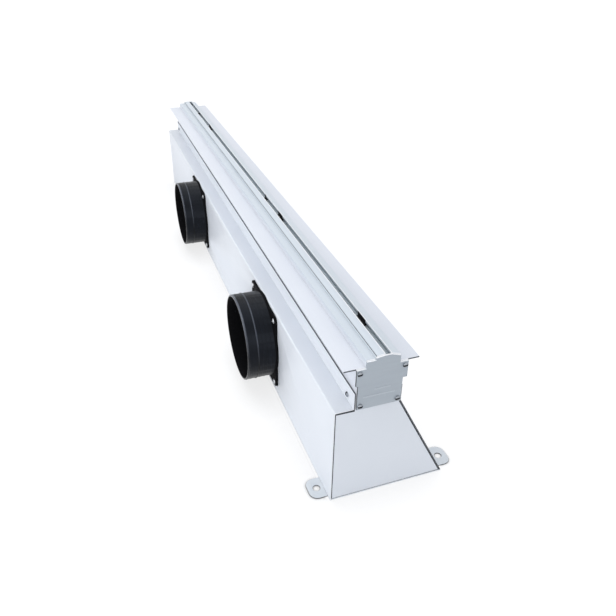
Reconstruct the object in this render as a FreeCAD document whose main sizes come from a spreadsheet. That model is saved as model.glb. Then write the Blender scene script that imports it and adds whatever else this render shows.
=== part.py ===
import FreeCAD, Part
import Sketcher
import math
import os

# Linear slot diffuser for a plastered ceiling: two slot profiles and their vanes on a sheet plenum.
# Millimetres. X runs across, from the duct spigots towards the sloping side.
# Y runs along the slot, and Z rises from the base plate to the slot. The origin is the middle of
# the base plate's underside.

SIZES = {
    # plenum
    "plenum_length": 1000.0,
    "base_width": 133.4,
    "wall_height": 121.3,
    "shoulder_width": 20.5,
    "neck_width": 50.7,
    "neck_top": 139.5,
    "slope_top": 119.7,
    "sheet": 1.0,
    "bend_radius": 1.0,
    "foot_width": 13.0,
    "foot_gap": 1.0,
    "end_recess": 0.4,
    "end_flange": 12.0,
    # fixing lugs of the base plate
    "lug_reach": 18.0,
    "lug_width": 27.5,
    "lug_corner": 9.0,
    "lug_inset_near": 20.0,
    "lug_inset_far": 145.0,
    "lug_hole_out": 8.0,
    "lug_hole_dia": 8.5,
    # duct spigots, each from the end that it is near
    "spigot_near": 236.5,
    "spigot_far": 342.5,
    "spigot_level": 64.3,
    "spigot_dia": 111.4,
    "spigot_wall": 2.5,
    "spigot_reach": 38.7,
    "spigot_plate": 105.8,
    "spigot_disc": 113.6,
    "spigot_plate_thick": 3.0,
    "spigot_bevel": 1.3,
    "spigot_screw_pitch": 92.2,
    "spigot_play": 0.3,
    # slot profiles
    "wall": 1.5,
    "neck_play": 0.3,
    "leg_bottom": 121.6,
    "ear_level": 149.8,
    "ear_left": 1.7,
    "ear_right": 4.0,
    "board_level": 170.0,
    "board_flange_left": 14.6,
    "board_flange_right": 16.2,
    "tread_level": 177.8,
    "tread_width": 9.4,
    "chamber_floor": 152.0,
    "chamber_width": 22.8,
    "chamber_shift": 6.25,
    "slot_width": 5.5,
    "lip_level": 181.6,
    "lip_left_fall": 1.3,
    "lip_right_fall": 3.6,
    "lip_nib": 3.4,
    "lip_nib_wall": 1.2,
    "ledge_level": 160.0,
    "ledge_reach": 1.5,
    # screw ports of the profiles
    "port_radius": 3.3,
    "port_bore": 1.6,
    "port_gap": 1.8,
    "port_upper_level": 164.6,
    "port_lower_level": 125.1,
    "port_lower_inset": 4.0,
    # end caps
    "cap_thick": 2.0,
    "cap_bottom": 120.9,
    "cap_lap": 0.4,
    "cap_drop": 1.0,
    # vanes and what carries them
    "vane_level": 167.5,
    "vane_height": 17.0,
    "vane_thick": 1.2,
    "vane_lip": 5.0,
    "vane_lip_offset": 1.6,
    "vane_rod": 4.0,
    "vane_tilt": 30.0,
    "vane_end_gap": 1.5,
    "vane_joint_gap": 0.6,
    "rod_play": 0.1,
    "holder_length": 16.0,
    "bearing_length": 5.0,
    "holder_play": 0.2,
    "holder_top_gap": 0.3,
    "holder_wall": 1.5,
    "holder_roof": 3.0,
    "holder_boss": 8.0,
    "holder_1": 69.0,
    "bearing_1": 415.0,
    "holder_2_back": 71.0,
    "holder_3_from_far": 198.0,
    "bearing_2_from_far": 84.0,
    "vane_notch_gap": 1.0,
    # fasteners
    "screw_head": 5.6,
    "screw_head_tall": 1.8,
    "screw_shank": 2.9,
    "screw_long": 13.0,
    "screw_short": 5.5,
    "neck_screw_inset": 17.0,
    "neck_screw_level": 127.0,
    "rivet_head": 7.0,
    "rivet_head_tall": 1.3,
    "rivet_shank": 4.0,
    "rivet_tail": 3.0,
    "fastener_play": 0.15,
}

doc = FreeCAD.newDocument("SlotDiffuser")
sheet_of_sizes = doc.addObject("Spreadsheet::Sheet", "Sizes")
for row, (alias, number) in enumerate(SIZES.items(), start=1):
    sheet_of_sizes.set("A%d" % row, alias.replace("_", " "))
    sheet_of_sizes.set("B%d" % row, str(number))
    sheet_of_sizes.setAlias("B%d" % row, alias)
doc.recompute()


class Size:
    """A length that knows its value and the expression that it comes from."""

    def __init__(self, value, text):
        self.value = value
        self.text = text

    def __add__(self, other):
        other = as_size(other)
        return Size(self.value + other.value, "(%s + %s)" % (self.text, other.text))

    def __sub__(self, other):
        other = as_size(other)
        return Size(self.value - other.value, "(%s - %s)" % (self.text, other.text))

    def __mul__(self, other):
        other = as_size(other)
        return Size(self.value * other.value, "(%s * %s)" % (self.text, other.text))

    def __truediv__(self, other):
        other = as_size(other)
        return Size(self.value / other.value, "(%s / %s)" % (self.text, other.text))

    def __neg__(self):
        return Size(-self.value, "(0 - %s)" % self.text)


def as_size(number):
    if isinstance(number, Size):
        return number
    return Size(float(number), repr(number))


def cell(alias):
    return Size(float(sheet_of_sizes.get(alias)), "Sizes.%s" % alias)


def root_of(size):
    return Size(math.sqrt(size.value), "sqrt(%s)" % size.text)


S = {alias: cell(alias) for alias in SIZES}
CLOSE = 1e-4


# Places that several pieces share

half_length = S["plenum_length"] / 2
half_base = S["base_width"] / 2
sheet = S["sheet"]
wall = S["wall"]
outer_bend = sheet + S["bend_radius"]

neck_left = S["shoulder_width"] - half_base
neck_right = neck_left + S["neck_width"]
leg_left = neck_left + sheet + S["neck_play"]
leg_right = neck_right - sheet - S["neck_play"]
ear_left = leg_left - S["ear_left"]
ear_right = leg_right + S["ear_right"]

slot_middle = (neck_left + neck_right) / 2 + S["chamber_shift"]
chamber_left = slot_middle - S["chamber_width"] / 2
chamber_right = slot_middle + S["chamber_width"] / 2

slope_run = half_base - neck_right
slope_rise = S["slope_top"] - sheet
slope_length = root_of(slope_run * slope_run + slope_rise * slope_rise)
slope_thick = sheet * slope_length / slope_rise


def slope_inside(level):
    """X of the sloping sheet's inner face at a level."""
    return half_base - slope_thick - (as_size(level) - sheet) * slope_run / slope_rise


slope_knee = sheet + (half_base - slope_thick - neck_right + sheet) * slope_rise / slope_run
end_plate_top = S["wall_height"] - outer_bend - S["neck_play"]
holder_top = S["lip_level"] - wall - S["lip_right_fall"] - S["holder_top_gap"]


near_spigot = S["spigot_near"] - half_length
far_spigot = half_length - S["spigot_far"]
spigot_bore = S["spigot_dia"] / 2 - S["spigot_wall"]

holder_1 = S["holder_1"] - half_length
bearing_1 = S["bearing_1"] - half_length
holder_2 = bearing_1 - S["holder_2_back"]
holder_3 = half_length - S["holder_3_from_far"]
bearing_2 = half_length - S["bearing_2_from_far"]


# Building steps

def body_named(name):
    body = doc.addObject("PartDesign::Body", name)
    body.Label = name
    return body


def sketch_on(body, name, role, offset=None):
    """A sketch on one of the body's origin planes, moved along its normal by an offset."""
    plane = [part for part in body.Origin.OriginFeatures if part.Role == role][0]
    sketch = body.newObject("Sketcher::SketchObject", name)
    sketch.AttachmentSupport = [(plane, "")]
    sketch.MapMode = "FlatFace"
    if offset is not None:
        sketch.setExpression("AttachmentOffset.Base.z", offset.text)
    return sketch


def tie(sketch, geometry, point, place):
    """Ties a point of the sketch to its two coordinates."""
    for kind, axis, size in (("DistanceX", -2, place[0]), ("DistanceY", -1, place[1])):
        size = as_size(size)
        if size.value == 0.0 and not size.text.startswith("("):
            sketch.addConstraint(Sketcher.Constraint("PointOnObject", geometry, point, axis))
            continue
        number = sketch.addConstraint(
            Sketcher.Constraint(kind, -1, 1, geometry, point, size.value))
        sketch.setExpression("Constraints[%d]" % number, size.text)


def outline(sketch, places):
    """A closed outline of straight lines through the places."""
    places = [(as_size(across), as_size(up)) for across, up in places]
    first = sketch.GeometryCount
    count = len(places)
    for index, start in enumerate(places):
        end = places[(index + 1) % count]
        line = Part.LineSegment(
            FreeCAD.Vector(start[0].value, start[1].value, 0),
            FreeCAD.Vector(end[0].value, end[1].value, 0))
        sketch.addGeometry(line, False)
    for index in range(count):
        following = first + (index + 1) % count
        sketch.addConstraint(Sketcher.Constraint("Coincident", first + index, 2, following, 1))
    for index, place in enumerate(places):
        tie(sketch, first + index, 1, place)
    return sketch


def rectangle(sketch, low_across, low_up, high_across, high_up):
    return outline(sketch, [(low_across, low_up), (high_across, low_up),
                            (high_across, high_up), (low_across, high_up)])


def circle(sketch, place, radius):
    across, up = as_size(place[0]), as_size(place[1])
    radius = as_size(radius)
    centre = FreeCAD.Vector(across.value, up.value, 0)
    index = sketch.addGeometry(Part.Circle(centre, FreeCAD.Vector(0, 0, 1), radius.value), False)
    tie(sketch, index, 3, (across, up))
    number = sketch.addConstraint(Sketcher.Constraint("Radius", index, radius.value))
    sketch.setExpression("Constraints[%d]" % number, radius.text)
    return sketch


def eight_sided(sketch, place, radius):
    """An outline of eight sides about a circle, for what repeats and is hidden."""
    across, up = as_size(place[0]), as_size(place[1])
    half_side = radius * math.tan(math.pi / 8)
    return outline(sketch, [
        (across + radius, up - half_side), (across + radius, up + half_side),
        (across + half_side, up + radius), (across - half_side, up + radius),
        (across - radius, up + half_side), (across - radius, up - half_side),
        (across - half_side, up - radius), (across + half_side, up - radius)])


def pad(body, sketch, length, side="Symmetric", reverse=False):
    feature = body.newObject("PartDesign::Pad", sketch.Name + "Pad")
    feature.Profile = sketch
    feature.SideType = side
    feature.Reversed = reverse
    feature.setExpression("Length", as_size(length).text)
    sketch.Visibility = False
    doc.recompute()
    return feature


def pocket(body, sketch, length=None, side="Symmetric", reverse=False):
    """Cuts the sketch out of the body, right through where no length is given."""
    before = body.Tip.Shape.Volume
    feature = body.newObject("PartDesign::Pocket", sketch.Name + "Pocket")
    feature.Profile = sketch
    feature.SideType = side
    feature.Reversed = reverse
    if length is None:
        feature.Type = "ThroughAll"
    else:
        feature.setExpression("Length", as_size(length).text)
    doc.recompute()
    if feature.Shape.Volume >= before:
        raise RuntimeError("%s cuts nothing" % feature.Name)
    return feature


def edges_along(shape, axis, corners):
    """Names of the shape's straight edges along an axis that pass through the given corners."""
    others = [index for index in range(3) if index != axis]
    names = []
    for number, edge in enumerate(shape.Edges, start=1):
        if edge.Curve.TypeId != "Part::GeomLine":
            continue
        if abs(edge.Curve.Direction[axis]) < 1 - CLOSE:
            continue
        middle = edge.CenterOfMass
        for corner in corners:
            gaps = [abs(middle[others[k]] - as_size(corner[k]).value) for k in range(2)]
            if max(gaps) < CLOSE:
                names.append("Edge%d" % number)
    return names


def edges_in_plane(shape, axis, place):
    """Names of the edges that lie wholly at one place on an axis."""
    names = []
    for number, edge in enumerate(shape.Edges, start=1):
        ends = [point[axis] for point in edge.discretize(5)]
        if max(abs(end - place) for end in ends) < CLOSE:
            names.append("Edge%d" % number)
    return names


def fillet(body, names, radius):
    if not names:
        raise RuntimeError("%s has no edge to round" % body.Label)
    base = body.Tip
    feature = body.newObject("PartDesign::Fillet", body.Name + "Fillet")
    feature.Base = (base, names)
    feature.setExpression("Radius", as_size(radius).text)
    doc.recompute()
    return feature


# Base plate: one flat blank with four fixing lugs

def base_plate():
    body = body_named("base_plate")
    tip = half_base + S["lug_reach"]
    stations = {-1: S["lug_inset_near"] - half_length, 1: half_length - S["lug_inset_far"]}

    def lug(side, end):
        """The four corners of a lug, from the plate's end towards its middle."""
        outer_edge = stations[end] + S["lug_width"] / 2 * end
        inner_edge = stations[end] - S["lug_width"] / 2 * end
        return [(half_base * side, outer_edge), (tip * side, outer_edge),
                (tip * side, inner_edge), (half_base * side, inner_edge)]

    corners = [(-half_base, -half_length), (half_base, -half_length)]
    corners += lug(1, -1)
    corners += list(reversed(lug(1, 1)))
    corners += [(half_base, half_length), (-half_base, half_length)]
    corners += lug(-1, 1)
    corners += list(reversed(lug(-1, -1)))
    plate = sketch_on(body, "BasePlateOutline", "XY_Plane")
    outline(plate, corners)
    pad(body, plate, sheet, side="One side")
    tips = [corner for side in (-1, 1) for end in (-1, 1) for corner in lug(side, end)[1:3]]
    fillet(body, edges_along(body.Tip.Shape, 2, tips), S["lug_corner"])
    holes = sketch_on(body, "LugHoles", "XY_Plane")
    for side in (-1, 1):
        for end in (-1, 1):
            circle(holes, ((half_base + S["lug_hole_out"]) * side, stations[end]),
                   S["lug_hole_dia"] / 2)
    pocket(body, holes)


# Side sheets: folded walls of the plenum, each with its half of the neck

def straight_side_sheet():
    body = body_named("straight_side_sheet")
    top = S["wall_height"]
    section = sketch_on(body, "StraightSideSection", "XZ_Plane")
    outline(section, [
        (-half_base, sheet), (-half_base, top), (neck_left, top), (neck_left, S["neck_top"]),
        (neck_left + sheet, S["neck_top"]), (neck_left + sheet, top - sheet),
        (sheet - half_base, top - sheet), (sheet - half_base, sheet)])
    pad(body, section, S["plenum_length"])
    foot = sketch_on(body, "StraightFoot", "XZ_Plane")
    rectangle(foot, sheet - half_base, sheet, S["foot_width"] - half_base, sheet * 2)
    pad(body, foot, (half_length - S["end_recess"] - S["end_flange"] - S["foot_gap"]) * 2)
    shape = body.Tip.Shape
    outside = [(-half_base, top), (neck_left + sheet, top - sheet)]
    fillet(body, edges_along(shape, 1, outside), outer_bend)
    shape = body.Tip.Shape
    inside = [(sheet - half_base, top - sheet), (neck_left, top), (sheet - half_base, sheet * 2)]
    fillet(body, edges_along(shape, 1, inside), S["bend_radius"])
    openings = sketch_on(body, "SpigotOpenings", "YZ_Plane")
    rivets = sketch_on(body, "SpigotRivetHoles", "YZ_Plane")
    half_pitch = S["spigot_screw_pitch"] / 2
    hole = S["rivet_shank"] / 2 + S["fastener_play"]
    for station in (near_spigot, far_spigot):
        circle(openings, (station, S["spigot_level"]), spigot_bore + S["spigot_play"])
        for across in (-1, 1):
            for up in (-1, 1):
                place = (station + half_pitch * across, S["spigot_level"] + half_pitch * up)
                eight_sided(rivets, place, hole)
    pocket(body, openings)
    pocket(body, rivets)
    neck_screw_holes(body, neck_left, "Straight")


def sloping_side_sheet():
    body = body_named("sloping_side_sheet")
    section = sketch_on(body, "SlopingSideSection", "XZ_Plane")
    outline(section, [
        (half_base, sheet), (neck_right, S["slope_top"]), (neck_right, S["neck_top"]),
        (neck_right - sheet, S["neck_top"]), (neck_right - sheet, slope_knee),
        (slope_inside(sheet), sheet)])
    pad(body, section, S["plenum_length"])
    foot = sketch_on(body, "SlopingFoot", "XZ_Plane")
    outline(foot, [
        (slope_inside(sheet), sheet), (half_base - S["foot_width"], sheet),
        (half_base - S["foot_width"], sheet * 2), (slope_inside(sheet * 2), sheet * 2)])
    pad(body, foot, (half_length - S["end_recess"] - S["end_flange"] - S["foot_gap"]) * 2)
    shape = body.Tip.Shape
    fillet(body, edges_along(shape, 1, [(neck_right - sheet, slope_knee)]), S["bend_radius"])
    shape = body.Tip.Shape
    fillet(body, edges_along(shape, 1, [(neck_right, S["slope_top"])]), outer_bend)
    neck_screw_holes(body, neck_right, "Sloping")


def neck_screw_holes(body, face, name):
    """Holes near both ends of a neck wall, through which the profile's leg is held."""
    holes = sketch_on(body, name + "NeckScrewHoles", "YZ_Plane", face)
    for end in (-1, 1):
        place = ((half_length - S["neck_screw_inset"]) * end, S["neck_screw_level"])
        eight_sided(holes, place, S["screw_shank"] / 2 + S["fastener_play"])
    pocket(body, holes, sheet * 4)


# End plates: shallow folded trays that close the plenum's ends

def end_plate(name, end):
    body = body_named(name)
    face = (half_length - S["end_recess"]) * -end
    front = sketch_on(body, name + "Outline", "XZ_Plane", face)
    outline(front, [
        (sheet - half_base, sheet), (slope_inside(sheet), sheet),
        (slope_inside(end_plate_top), end_plate_top), (sheet - half_base, end_plate_top)])
    pad(body, front, S["end_flange"], side="One side", reverse=end < 0)
    face_y = -face.value
    fillet(body, edges_in_plane(body.Tip.Shape, 1, face_y), outer_bend)
    floor_y = face_y - sheet.value * end
    inside = sketch_on(body, name + "Inside", "XZ_Plane", face + sheet * end)
    low = sheet * 2
    high = end_plate_top - sheet
    outline(inside, [
        (low - half_base, low), (slope_inside(low) - slope_thick, low),
        (slope_inside(high) - slope_thick, high), (low - half_base, high)])
    pocket(body, inside, S["end_flange"], side="One side", reverse=end > 0)
    shape = body.Tip.Shape
    fillet(body, edges_in_plane(shape, 1, floor_y), S["bend_radius"])
    tongue = sketch_on(body, name + "Tongue", "XZ_Plane", face)
    rectangle(tongue, neck_left + sheet + S["neck_play"], end_plate_top - outer_bend - sheet,
              neck_right - sheet - S["neck_play"], S["leg_bottom"] - S["neck_play"])
    pad(body, tongue, sheet, side="One side", reverse=end < 0)


# Slot profiles: two aluminium extrusions, one each side of the slot

def screw_ports(body, name, ports):
    """Open channels that take the end cap's screws. A port is (x, z, side it opens to)."""
    rings = sketch_on(body, name + "Ports", "XZ_Plane")
    bores = sketch_on(body, name + "PortBores", "XZ_Plane")
    gaps = sketch_on(body, name + "PortGaps", "XZ_Plane")
    half_gap = S["port_gap"] / 2
    for across, up, opens in ports:
        eight_sided(rings, (across, up), S["port_radius"])
        eight_sided(bores, (across, up), S["port_bore"])
        mouth = across + (S["port_radius"] + wall) * opens
        rectangle(gaps, across, up - half_gap, mouth, up + half_gap)
    pad(body, rings, S["plenum_length"])
    pocket(body, bores)
    pocket(body, gaps)


def leg_screw_holes(body, name, leg, inward):
    """Holes in a leg for the screws through the plenum's neck."""
    holes = sketch_on(body, name + "LegScrewHoles", "YZ_Plane", leg)
    for end in (-1, 1):
        place = ((half_length - S["neck_screw_inset"]) * end, S["neck_screw_level"])
        eight_sided(holes, place, S["screw_shank"] / 2 + S["fastener_play"])
    pocket(body, holes, S["port_radius"] + wall, side="One side", reverse=inward > 0)


def lip_underside(level, fall, run, distance):
    """Height of a lip's underside at a distance back from the slot's edge."""
    return level - wall - fall * distance / run


def slot_profile_left():
    body = body_named("slot_profile_left")
    board = S["board_level"]
    tread = S["tread_level"]
    chamber_out = chamber_left - wall
    slot_edge = slot_middle - S["slot_width"] / 2
    riser = chamber_out - S["tread_width"]
    lip = S["lip_level"]
    fall = S["lip_left_fall"]
    run = slot_edge - chamber_out
    nib = S["lip_nib_wall"]
    section = sketch_on(body, "LeftSection", "XZ_Plane")
    outline(section, [
        (leg_left - S["board_flange_left"], board - wall),
        (ear_left, board - wall),
        (ear_left, S["ear_level"]),
        (leg_left, S["ear_level"]),
        (leg_left, S["leg_bottom"]),
        (leg_left + wall, S["leg_bottom"]),
        (leg_left + wall, S["ear_level"] + wall),
        (ear_left + wall, S["ear_level"] + wall),
        (ear_left + wall, board - wall),
        (riser + wall, board - wall),
        (riser + wall, tread - wall),
        (chamber_out, tread - wall),
        (chamber_out, S["chamber_floor"]),
        (chamber_left, S["chamber_floor"]),
        (chamber_left, S["ledge_level"] - wall),
        (chamber_left + S["ledge_reach"], S["ledge_level"] - wall),
        (chamber_left + S["ledge_reach"], S["ledge_level"]),
        (chamber_left, S["ledge_level"]),
        (chamber_left, lip_underside(lip, fall, run, slot_edge - chamber_left)),
        (slot_edge - nib, lip_underside(lip, fall, run, nib)),
        (slot_edge - nib, lip - S["lip_nib"]),
        (slot_edge, lip - S["lip_nib"]),
        (slot_edge, lip),
        (chamber_out, lip - fall),
        (chamber_out, tread),
        (riser, tread),
        (riser, board),
        (leg_left - S["board_flange_left"], board),
    ])
    pad(body, section, S["plenum_length"])
    screw_ports(body, "Left", [
        (ear_left + S["port_radius"], S["port_upper_level"], 1),
        (leg_left + S["port_lower_inset"], S["port_lower_level"], 1)])
    leg_screw_holes(body, "Left", leg_left, 1)


def slot_profile_right():
    body = body_named("slot_profile_right")
    board = S["board_level"]
    chamber_out = chamber_right + wall
    slot_edge = slot_middle + S["slot_width"] / 2
    lip = S["lip_level"]
    fall = S["lip_right_fall"]
    run = chamber_out - slot_edge
    nib = S["lip_nib_wall"]
    section = sketch_on(body, "RightSection", "XZ_Plane")
    outline(section, [
        (leg_right + S["board_flange_right"], board),
        (chamber_out, board),
        (chamber_out, lip - fall),
        (slot_edge, lip),
        (slot_edge, lip - S["lip_nib"]),
        (slot_edge + nib, lip - S["lip_nib"]),
        (slot_edge + nib, lip_underside(lip, fall, run, nib)),
        (chamber_right, lip_underside(lip, fall, run, chamber_right - slot_edge)),
        (chamber_right, S["ledge_level"]),
        (chamber_right - S["ledge_reach"], S["ledge_level"]),
        (chamber_right - S["ledge_reach"], S["ledge_level"] - wall),
        (chamber_right, S["ledge_level"] - wall),
        (chamber_right, S["chamber_floor"]),
        (chamber_out, S["chamber_floor"]),
        (chamber_out, board - wall),
        (ear_right - wall, board - wall),
        (ear_right - wall, S["ear_level"] + wall),
        (leg_right - wall, S["ear_level"] + wall),
        (leg_right - wall, S["leg_bottom"]),
        (leg_right, S["leg_bottom"]),
        (leg_right, S["ear_level"]),
        (ear_right, S["ear_level"]),
        (ear_right, board - wall),
        (leg_right + S["board_flange_right"], board - wall),
    ])
    pad(body, section, S["plenum_length"])
    screw_ports(body, "Right", [
        (ear_right - S["port_radius"], S["port_upper_level"], -1),
        (leg_right - S["port_lower_inset"], S["port_lower_level"], -1)])
    leg_screw_holes(body, "Right", leg_right, -1)


# End caps: stepped plates screwed to the ends of both profiles

cap_screw_places = [
    (ear_left + S["port_radius"], S["port_upper_level"]),
    (ear_right - S["port_radius"], S["port_upper_level"]),
    (leg_left + S["port_lower_inset"], S["port_lower_level"]),
    (leg_right - S["port_lower_inset"], S["port_lower_level"]),
]


def end_cap(name, end):
    """A cap that stays a little below the profiles, so that their cut ends show above it."""
    body = body_named(name)
    lap = S["cap_lap"]
    board = S["board_level"] - S["cap_drop"]
    tread = S["tread_level"] - S["cap_drop"]
    lip = S["lip_level"] - S["cap_drop"]
    half_slot = S["slot_width"] / 2
    chamber_out_left = chamber_left - wall
    chamber_out_right = chamber_right + wall
    front = sketch_on(body, name + "Outline", "XZ_Plane", half_length * -end)
    outline(front, [
        (leg_left + lap, S["cap_bottom"]),
        (leg_right - lap, S["cap_bottom"]),
        (leg_right - lap, S["ear_level"]),
        (ear_right, S["ear_level"]),
        (ear_right, board),
        (chamber_out_right, board),
        (chamber_out_right, lip - S["lip_right_fall"]),
        (slot_middle + half_slot, lip),
        (slot_middle - half_slot, lip),
        (chamber_out_left, lip - S["lip_left_fall"]),
        (chamber_out_left, tread),
        (chamber_out_left - S["tread_width"], tread),
        (chamber_out_left - S["tread_width"], board),
        (ear_left, board),
        (ear_left, S["ear_level"]),
        (leg_left + lap, S["ear_level"]),
    ])
    pad(body, front, S["cap_thick"], side="One side", reverse=end > 0)
    holes = sketch_on(body, name + "Holes", "XZ_Plane", half_length * -end)
    for place in cap_screw_places:
        eight_sided(holes, place, S["screw_shank"] / 2 + S["fastener_play"])
    pocket(body, holes)


# Vane holders and bearings: black mouldings between the profiles that carry the vanes

def vane_support(name, middle, length):
    body = body_named(name)
    left = chamber_left + S["holder_play"]
    right = chamber_right - S["holder_play"]
    block = sketch_on(body, name + "Block", "XZ_Plane", -middle)
    rectangle(block, left, S["ledge_level"], right, holder_top)
    pad(body, block, length)
    windows = sketch_on(body, name + "Windows", "XZ_Plane", -middle)
    roof = holder_top - S["holder_roof"]
    half_boss = S["holder_boss"] / 2
    rectangle(windows, left + S["holder_wall"], S["ledge_level"], slot_middle - half_boss, roof)
    rectangle(windows, slot_middle + half_boss, S["ledge_level"], right - S["holder_wall"], roof)
    pocket(body, windows)
    bore = sketch_on(body, name + "Bore", "XZ_Plane", -middle)
    circle(bore, (slot_middle, S["vane_level"]), S["vane_rod"] / 2 + S["rod_play"])
    pocket(body, bore)


# Vanes: thin blades that turn about a rod along their middle and steer the air

def vane(name, start, end, supports):
    """A vane from start to end, with its blade notched where the supports hold its rod."""
    body = body_named(name)
    middle = (start + end) / 2
    length = end - start
    half_thick = S["vane_thick"] / 2
    half_height = S["vane_height"] / 2
    lip_foot = half_height - S["vane_lip"]
    shift = S["vane_lip_offset"]
    blade = sketch_on(body, name + "Blade", "XZ_Plane", -middle)
    outline(blade, [
        (-half_thick, -half_height), (half_thick, -half_height), (half_thick, lip_foot),
        (half_thick + shift, half_height), (shift - half_thick, half_height),
        (-half_thick, lip_foot)])
    pad(body, blade, length)
    notches = sketch_on(body, name + "Notches", "YZ_Plane")
    gap = S["vane_notch_gap"]
    reach = half_height + gap
    for station, support_length in supports:
        half = support_length / 2 + gap
        rectangle(notches, station - half, -reach, station + half, reach)
    pocket(body, notches)
    rod = sketch_on(body, name + "Rod", "XZ_Plane", -middle)
    circle(rod, (0, 0), S["vane_rod"] / 2)
    pad(body, rod, length)
    body.setExpression("Placement.Base.x", slot_middle.text)
    body.setExpression("Placement.Base.z", S["vane_level"].text)
    body.Placement.Rotation = FreeCAD.Rotation(FreeCAD.Vector(0, 1, 0), 0)
    body.setExpression("Placement.Rotation.Angle", S["vane_tilt"].text)


# Duct spigots: black mouldings with a round tube and a flange that has an ear for each rivet

def duct_spigot(name, station):
    body = body_named(name)
    tube = S["spigot_dia"] / 2
    face = -half_base
    half_plate = S["spigot_plate"] / 2
    plate = sketch_on(body, name + "Plate", "YZ_Plane", face)
    rectangle(plate, -half_plate, -half_plate, half_plate, half_plate)
    pad(body, plate, S["spigot_plate_thick"], side="One side", reverse=True)
    corner = half_plate - S["spigot_screw_pitch"] / 2
    corners = [(side * half_plate.value, up * half_plate.value)
               for side in (-1, 1) for up in (-1, 1)]
    fillet(body, edges_along(body.Tip.Shape, 0, corners), corner)
    disc = sketch_on(body, name + "Disc", "YZ_Plane", face)
    circle(disc, (0, 0), S["spigot_disc"] / 2)
    pad(body, disc, S["spigot_plate_thick"], side="One side", reverse=True)
    barrel = sketch_on(body, name + "Barrel", "XZ_Plane")
    mouth = face - S["spigot_reach"]
    bevel = S["spigot_bevel"]
    root = face - S["spigot_plate_thick"] / 2
    outline(barrel, [
        (mouth, spigot_bore), (mouth, tube - bevel), (mouth + bevel, tube), (root, tube),
        (root, spigot_bore)])
    turned = body.newObject("PartDesign::Revolution", name + "Turned")
    turned.Profile = barrel
    turned.ReferenceAxis = (barrel, ["H_Axis"])
    turned.Angle = 360
    doc.recompute()
    centre_hole = sketch_on(body, name + "Bore", "YZ_Plane", face)
    circle(centre_hole, (0, 0), spigot_bore)
    pocket(body, centre_hole)
    holes = sketch_on(body, name + "RivetHoles", "YZ_Plane", face)
    half_pitch = S["spigot_screw_pitch"] / 2
    for across in (-1, 1):
        for up in (-1, 1):
            eight_sided(holes, (half_pitch * across, half_pitch * up),
                        S["rivet_shank"] / 2 + S["fastener_play"])
    pocket(body, holes)
    body.setExpression("Placement.Base.y", station.text)
    body.setExpression("Placement.Base.z", S["spigot_level"].text)


# Fasteners: each group is one node of separate solids, with few faces because they repeat

HEAD_SIDES = 16
SHANK_SIDES = 8


def fastener(name, place, direction, head, head_tall, shank, length):
    """A headed pin whose head rests at place. Direction is the unit vector out of the head."""
    turn = FreeCAD.Rotation(FreeCAD.Vector(0, 0, 1), FreeCAD.Vector(*direction))
    cap = doc.addObject("Part::Prism", name + "Head")
    cap.Polygon = HEAD_SIDES
    cap.setExpression("Circumradius", (head / 2).text)
    cap.setExpression("Height", head_tall.text)
    pin = doc.addObject("Part::Prism", name + "Shank")
    pin.Polygon = SHANK_SIDES
    pin.setExpression("Circumradius", (shank / 2).text)
    pin.setExpression("Height", (length + head_tall / 2).text)
    for part, shift in ((cap, as_size(0)), (pin, -length)):
        part.Placement = FreeCAD.Placement(FreeCAD.Vector(0, 0, 0), turn)
        for letter, size, step in zip("xyz", place, direction):
            base = as_size(size) + shift * step
            part.setExpression("Placement.Base." + letter, base.text)
    joined = doc.addObject("Part::Fuse", name)
    joined.Base = cap
    joined.Tool = pin
    return joined


def fastener_group(name, places, direction, head, head_tall, shank, length):
    group = doc.addObject("Part::Compound", name)
    group.Label = name
    group.Links = [fastener("%s_%d" % (name, number), place, direction, head, head_tall, shank,
                            length)
                   for number, place in enumerate(places, start=1)]
    return group


def cap_screws(name, end):
    face = (half_length + S["cap_thick"]) * end
    places = [(across, face, up) for across, up in cap_screw_places]
    return fastener_group(name, places, (0, end, 0), S["screw_head"], S["screw_head_tall"],
                          S["screw_shank"], S["screw_long"])


def neck_screws(name, face, side):
    places = [(face, (half_length - S["neck_screw_inset"]) * end, S["neck_screw_level"])
              for end in (-1, 1)]
    return fastener_group(name, places, (side, 0, 0), S["screw_head"], S["screw_head_tall"],
                          S["screw_shank"], S["screw_short"])


def spigot_rivets(name, station):
    half_pitch = S["spigot_screw_pitch"] / 2
    face = -half_base - S["spigot_plate_thick"]
    places = [(face, station + half_pitch * across, S["spigot_level"] + half_pitch * up)
              for across in (-1, 1) for up in (-1, 1)]
    return fastener_group(name, places, (-1, 0, 0), S["rivet_head"], S["rivet_head_tall"],
                          S["rivet_shank"], S["spigot_plate_thick"] + sheet + S["rivet_tail"])


# The whole part

base_plate()
straight_side_sheet()
sloping_side_sheet()
end_plate("end_plate_near", -1)
end_plate("end_plate_far", 1)
duct_spigot("duct_spigot_near", near_spigot)
duct_spigot("duct_spigot_far", far_spigot)
slot_profile_left()
slot_profile_right()
end_cap("end_cap_near", -1)
end_cap("end_cap_far", 1)
for number, station in enumerate((holder_1, holder_2, holder_3), start=1):
    vane_support("vane_holder_%d" % number, station, S["holder_length"])
for number, station in enumerate((bearing_1, bearing_2), start=1):
    vane_support("vane_bearing_%d" % number, station, S["bearing_length"])
vane("vane_near", S["vane_end_gap"] - half_length, bearing_1 - S["vane_joint_gap"] / 2,
     [(holder_1, S["holder_length"]), (holder_2, S["holder_length"]),
      (bearing_1, S["bearing_length"])])
vane("vane_far", bearing_1 + S["vane_joint_gap"] / 2, half_length - S["vane_end_gap"],
     [(bearing_1, S["bearing_length"]), (holder_3, S["holder_length"]),
      (bearing_2, S["bearing_length"])])
cap_screws("cap_screws_near", -1)
cap_screws("cap_screws_far", 1)
neck_screws("neck_screws_straight_side", neck_left, -1)
neck_screws("neck_screws_sloping_side", neck_right, 1)
spigot_rivets("spigot_rivets_near", near_spigot)
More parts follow.
